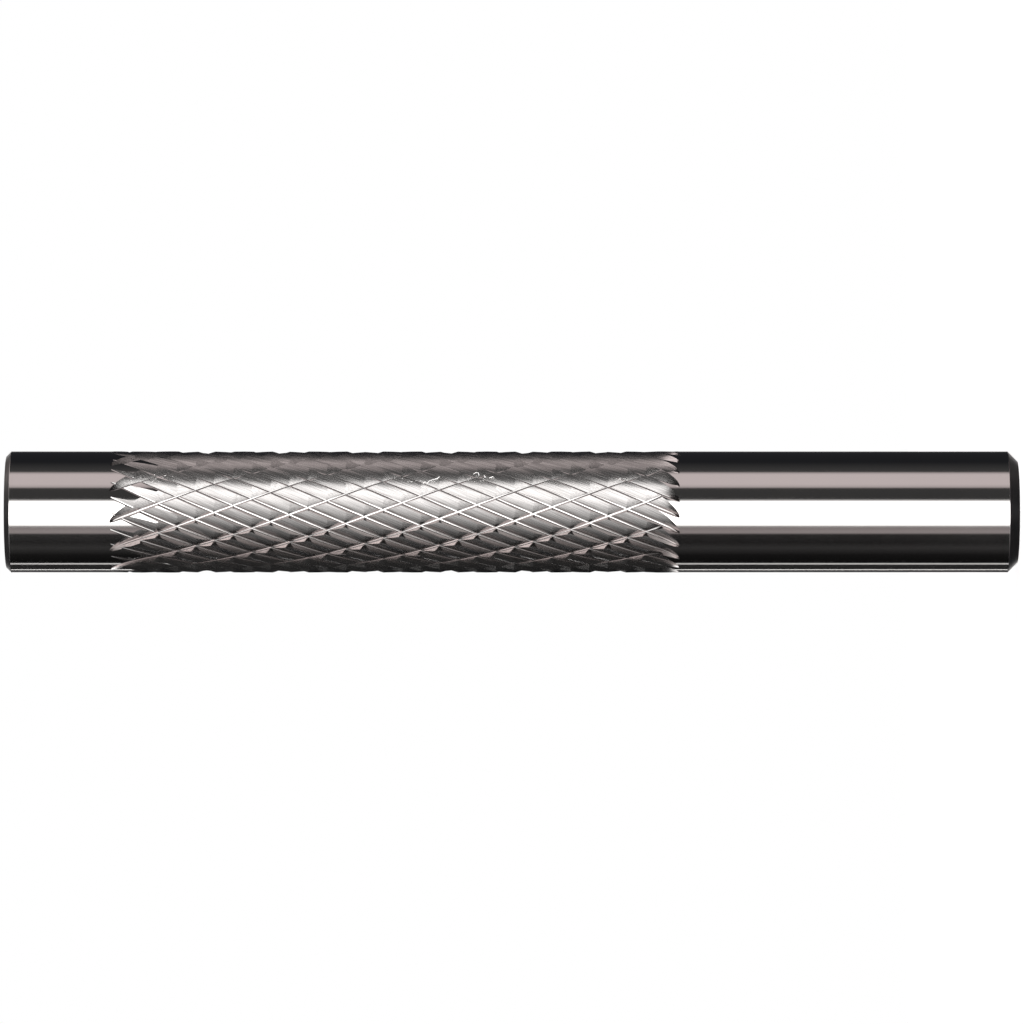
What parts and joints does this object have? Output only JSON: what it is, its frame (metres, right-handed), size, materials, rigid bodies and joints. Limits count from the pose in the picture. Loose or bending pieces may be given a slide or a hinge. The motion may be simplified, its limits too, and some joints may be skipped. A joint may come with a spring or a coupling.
{
  "type": "carbide burr",
  "caption": "Straight solid-carbide burr: a cylindrical bar with a double-cut helical cutting section between a plain shank and a short plain nose.",
  "frame": {"origin": "centre of the shank's flat end face", "axes": "+Z along the burr's axis, from the shank's end up to the nose; +X and +Y across it, where +X was the upper side and -Y the near side as first seen"},
  "size_m": [0.012, 0.012, 0.1],
  "materials": {
    "carbide": "ground and polished bare tungsten carbide"
  },
  "bodies": {
    "root": {"burr": "carbide"}
  },
  "joints": []
}
